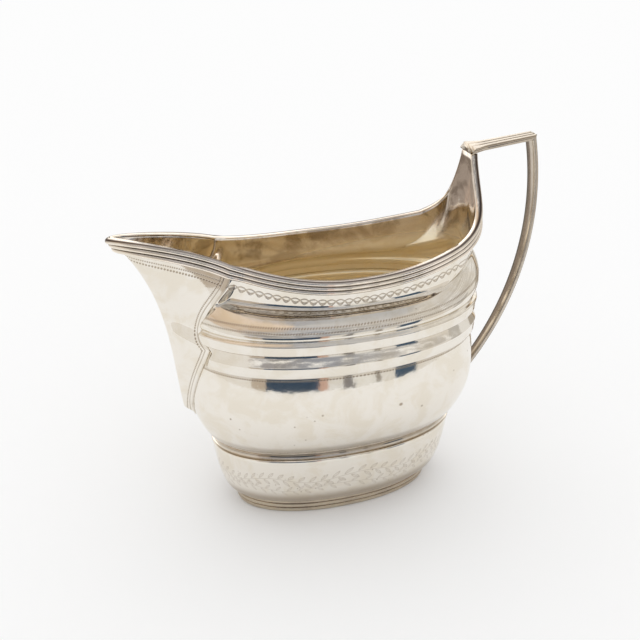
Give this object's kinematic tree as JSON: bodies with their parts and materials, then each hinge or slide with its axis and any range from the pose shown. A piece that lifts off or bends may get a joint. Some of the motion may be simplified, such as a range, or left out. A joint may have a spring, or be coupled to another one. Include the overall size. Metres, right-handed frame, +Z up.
{
  "type": "cream jug",
  "caption": "Oval silver cream jug with a let-in beak spout, a girdled body, a reeded rim and foot, and a mitred strap handle.",
  "frame": {"origin": "centre of the foot wire's flat underside, on the surface that the jug stands on", "axes": "+Z up, +X towards the handle, the spout points to -X, and the jug mirrors across Y"},
  "size_m": [0.124, 0.0558, 0.1063],
  "materials": {
    "body_silver": "old polished silver, gilt inside",
    "spout_silver": "old polished silver, gilt inside",
    "rim_silver": "old polished silver, tarnished between the reeds",
    "band_silver": "old polished silver, lightly engraved",
    "foot_silver": "worn, darkened silver",
    "base_gilt": "pale gilt silver",
    "handle_silver": "old silver, lightly tarnished"
  },
  "bodies": {
    "root": {"body_wall": "body_silver", "spout": "spout_silver", "rim_wire_left": "rim_silver", "rim_wire_right": "rim_silver", "plinth_band": "band_silver", "foot_wire": "foot_silver", "base_plate": "base_gilt", "handle_bar": "handle_silver", "handle_grip": "handle_silver"}
  },
  "joints": []
}
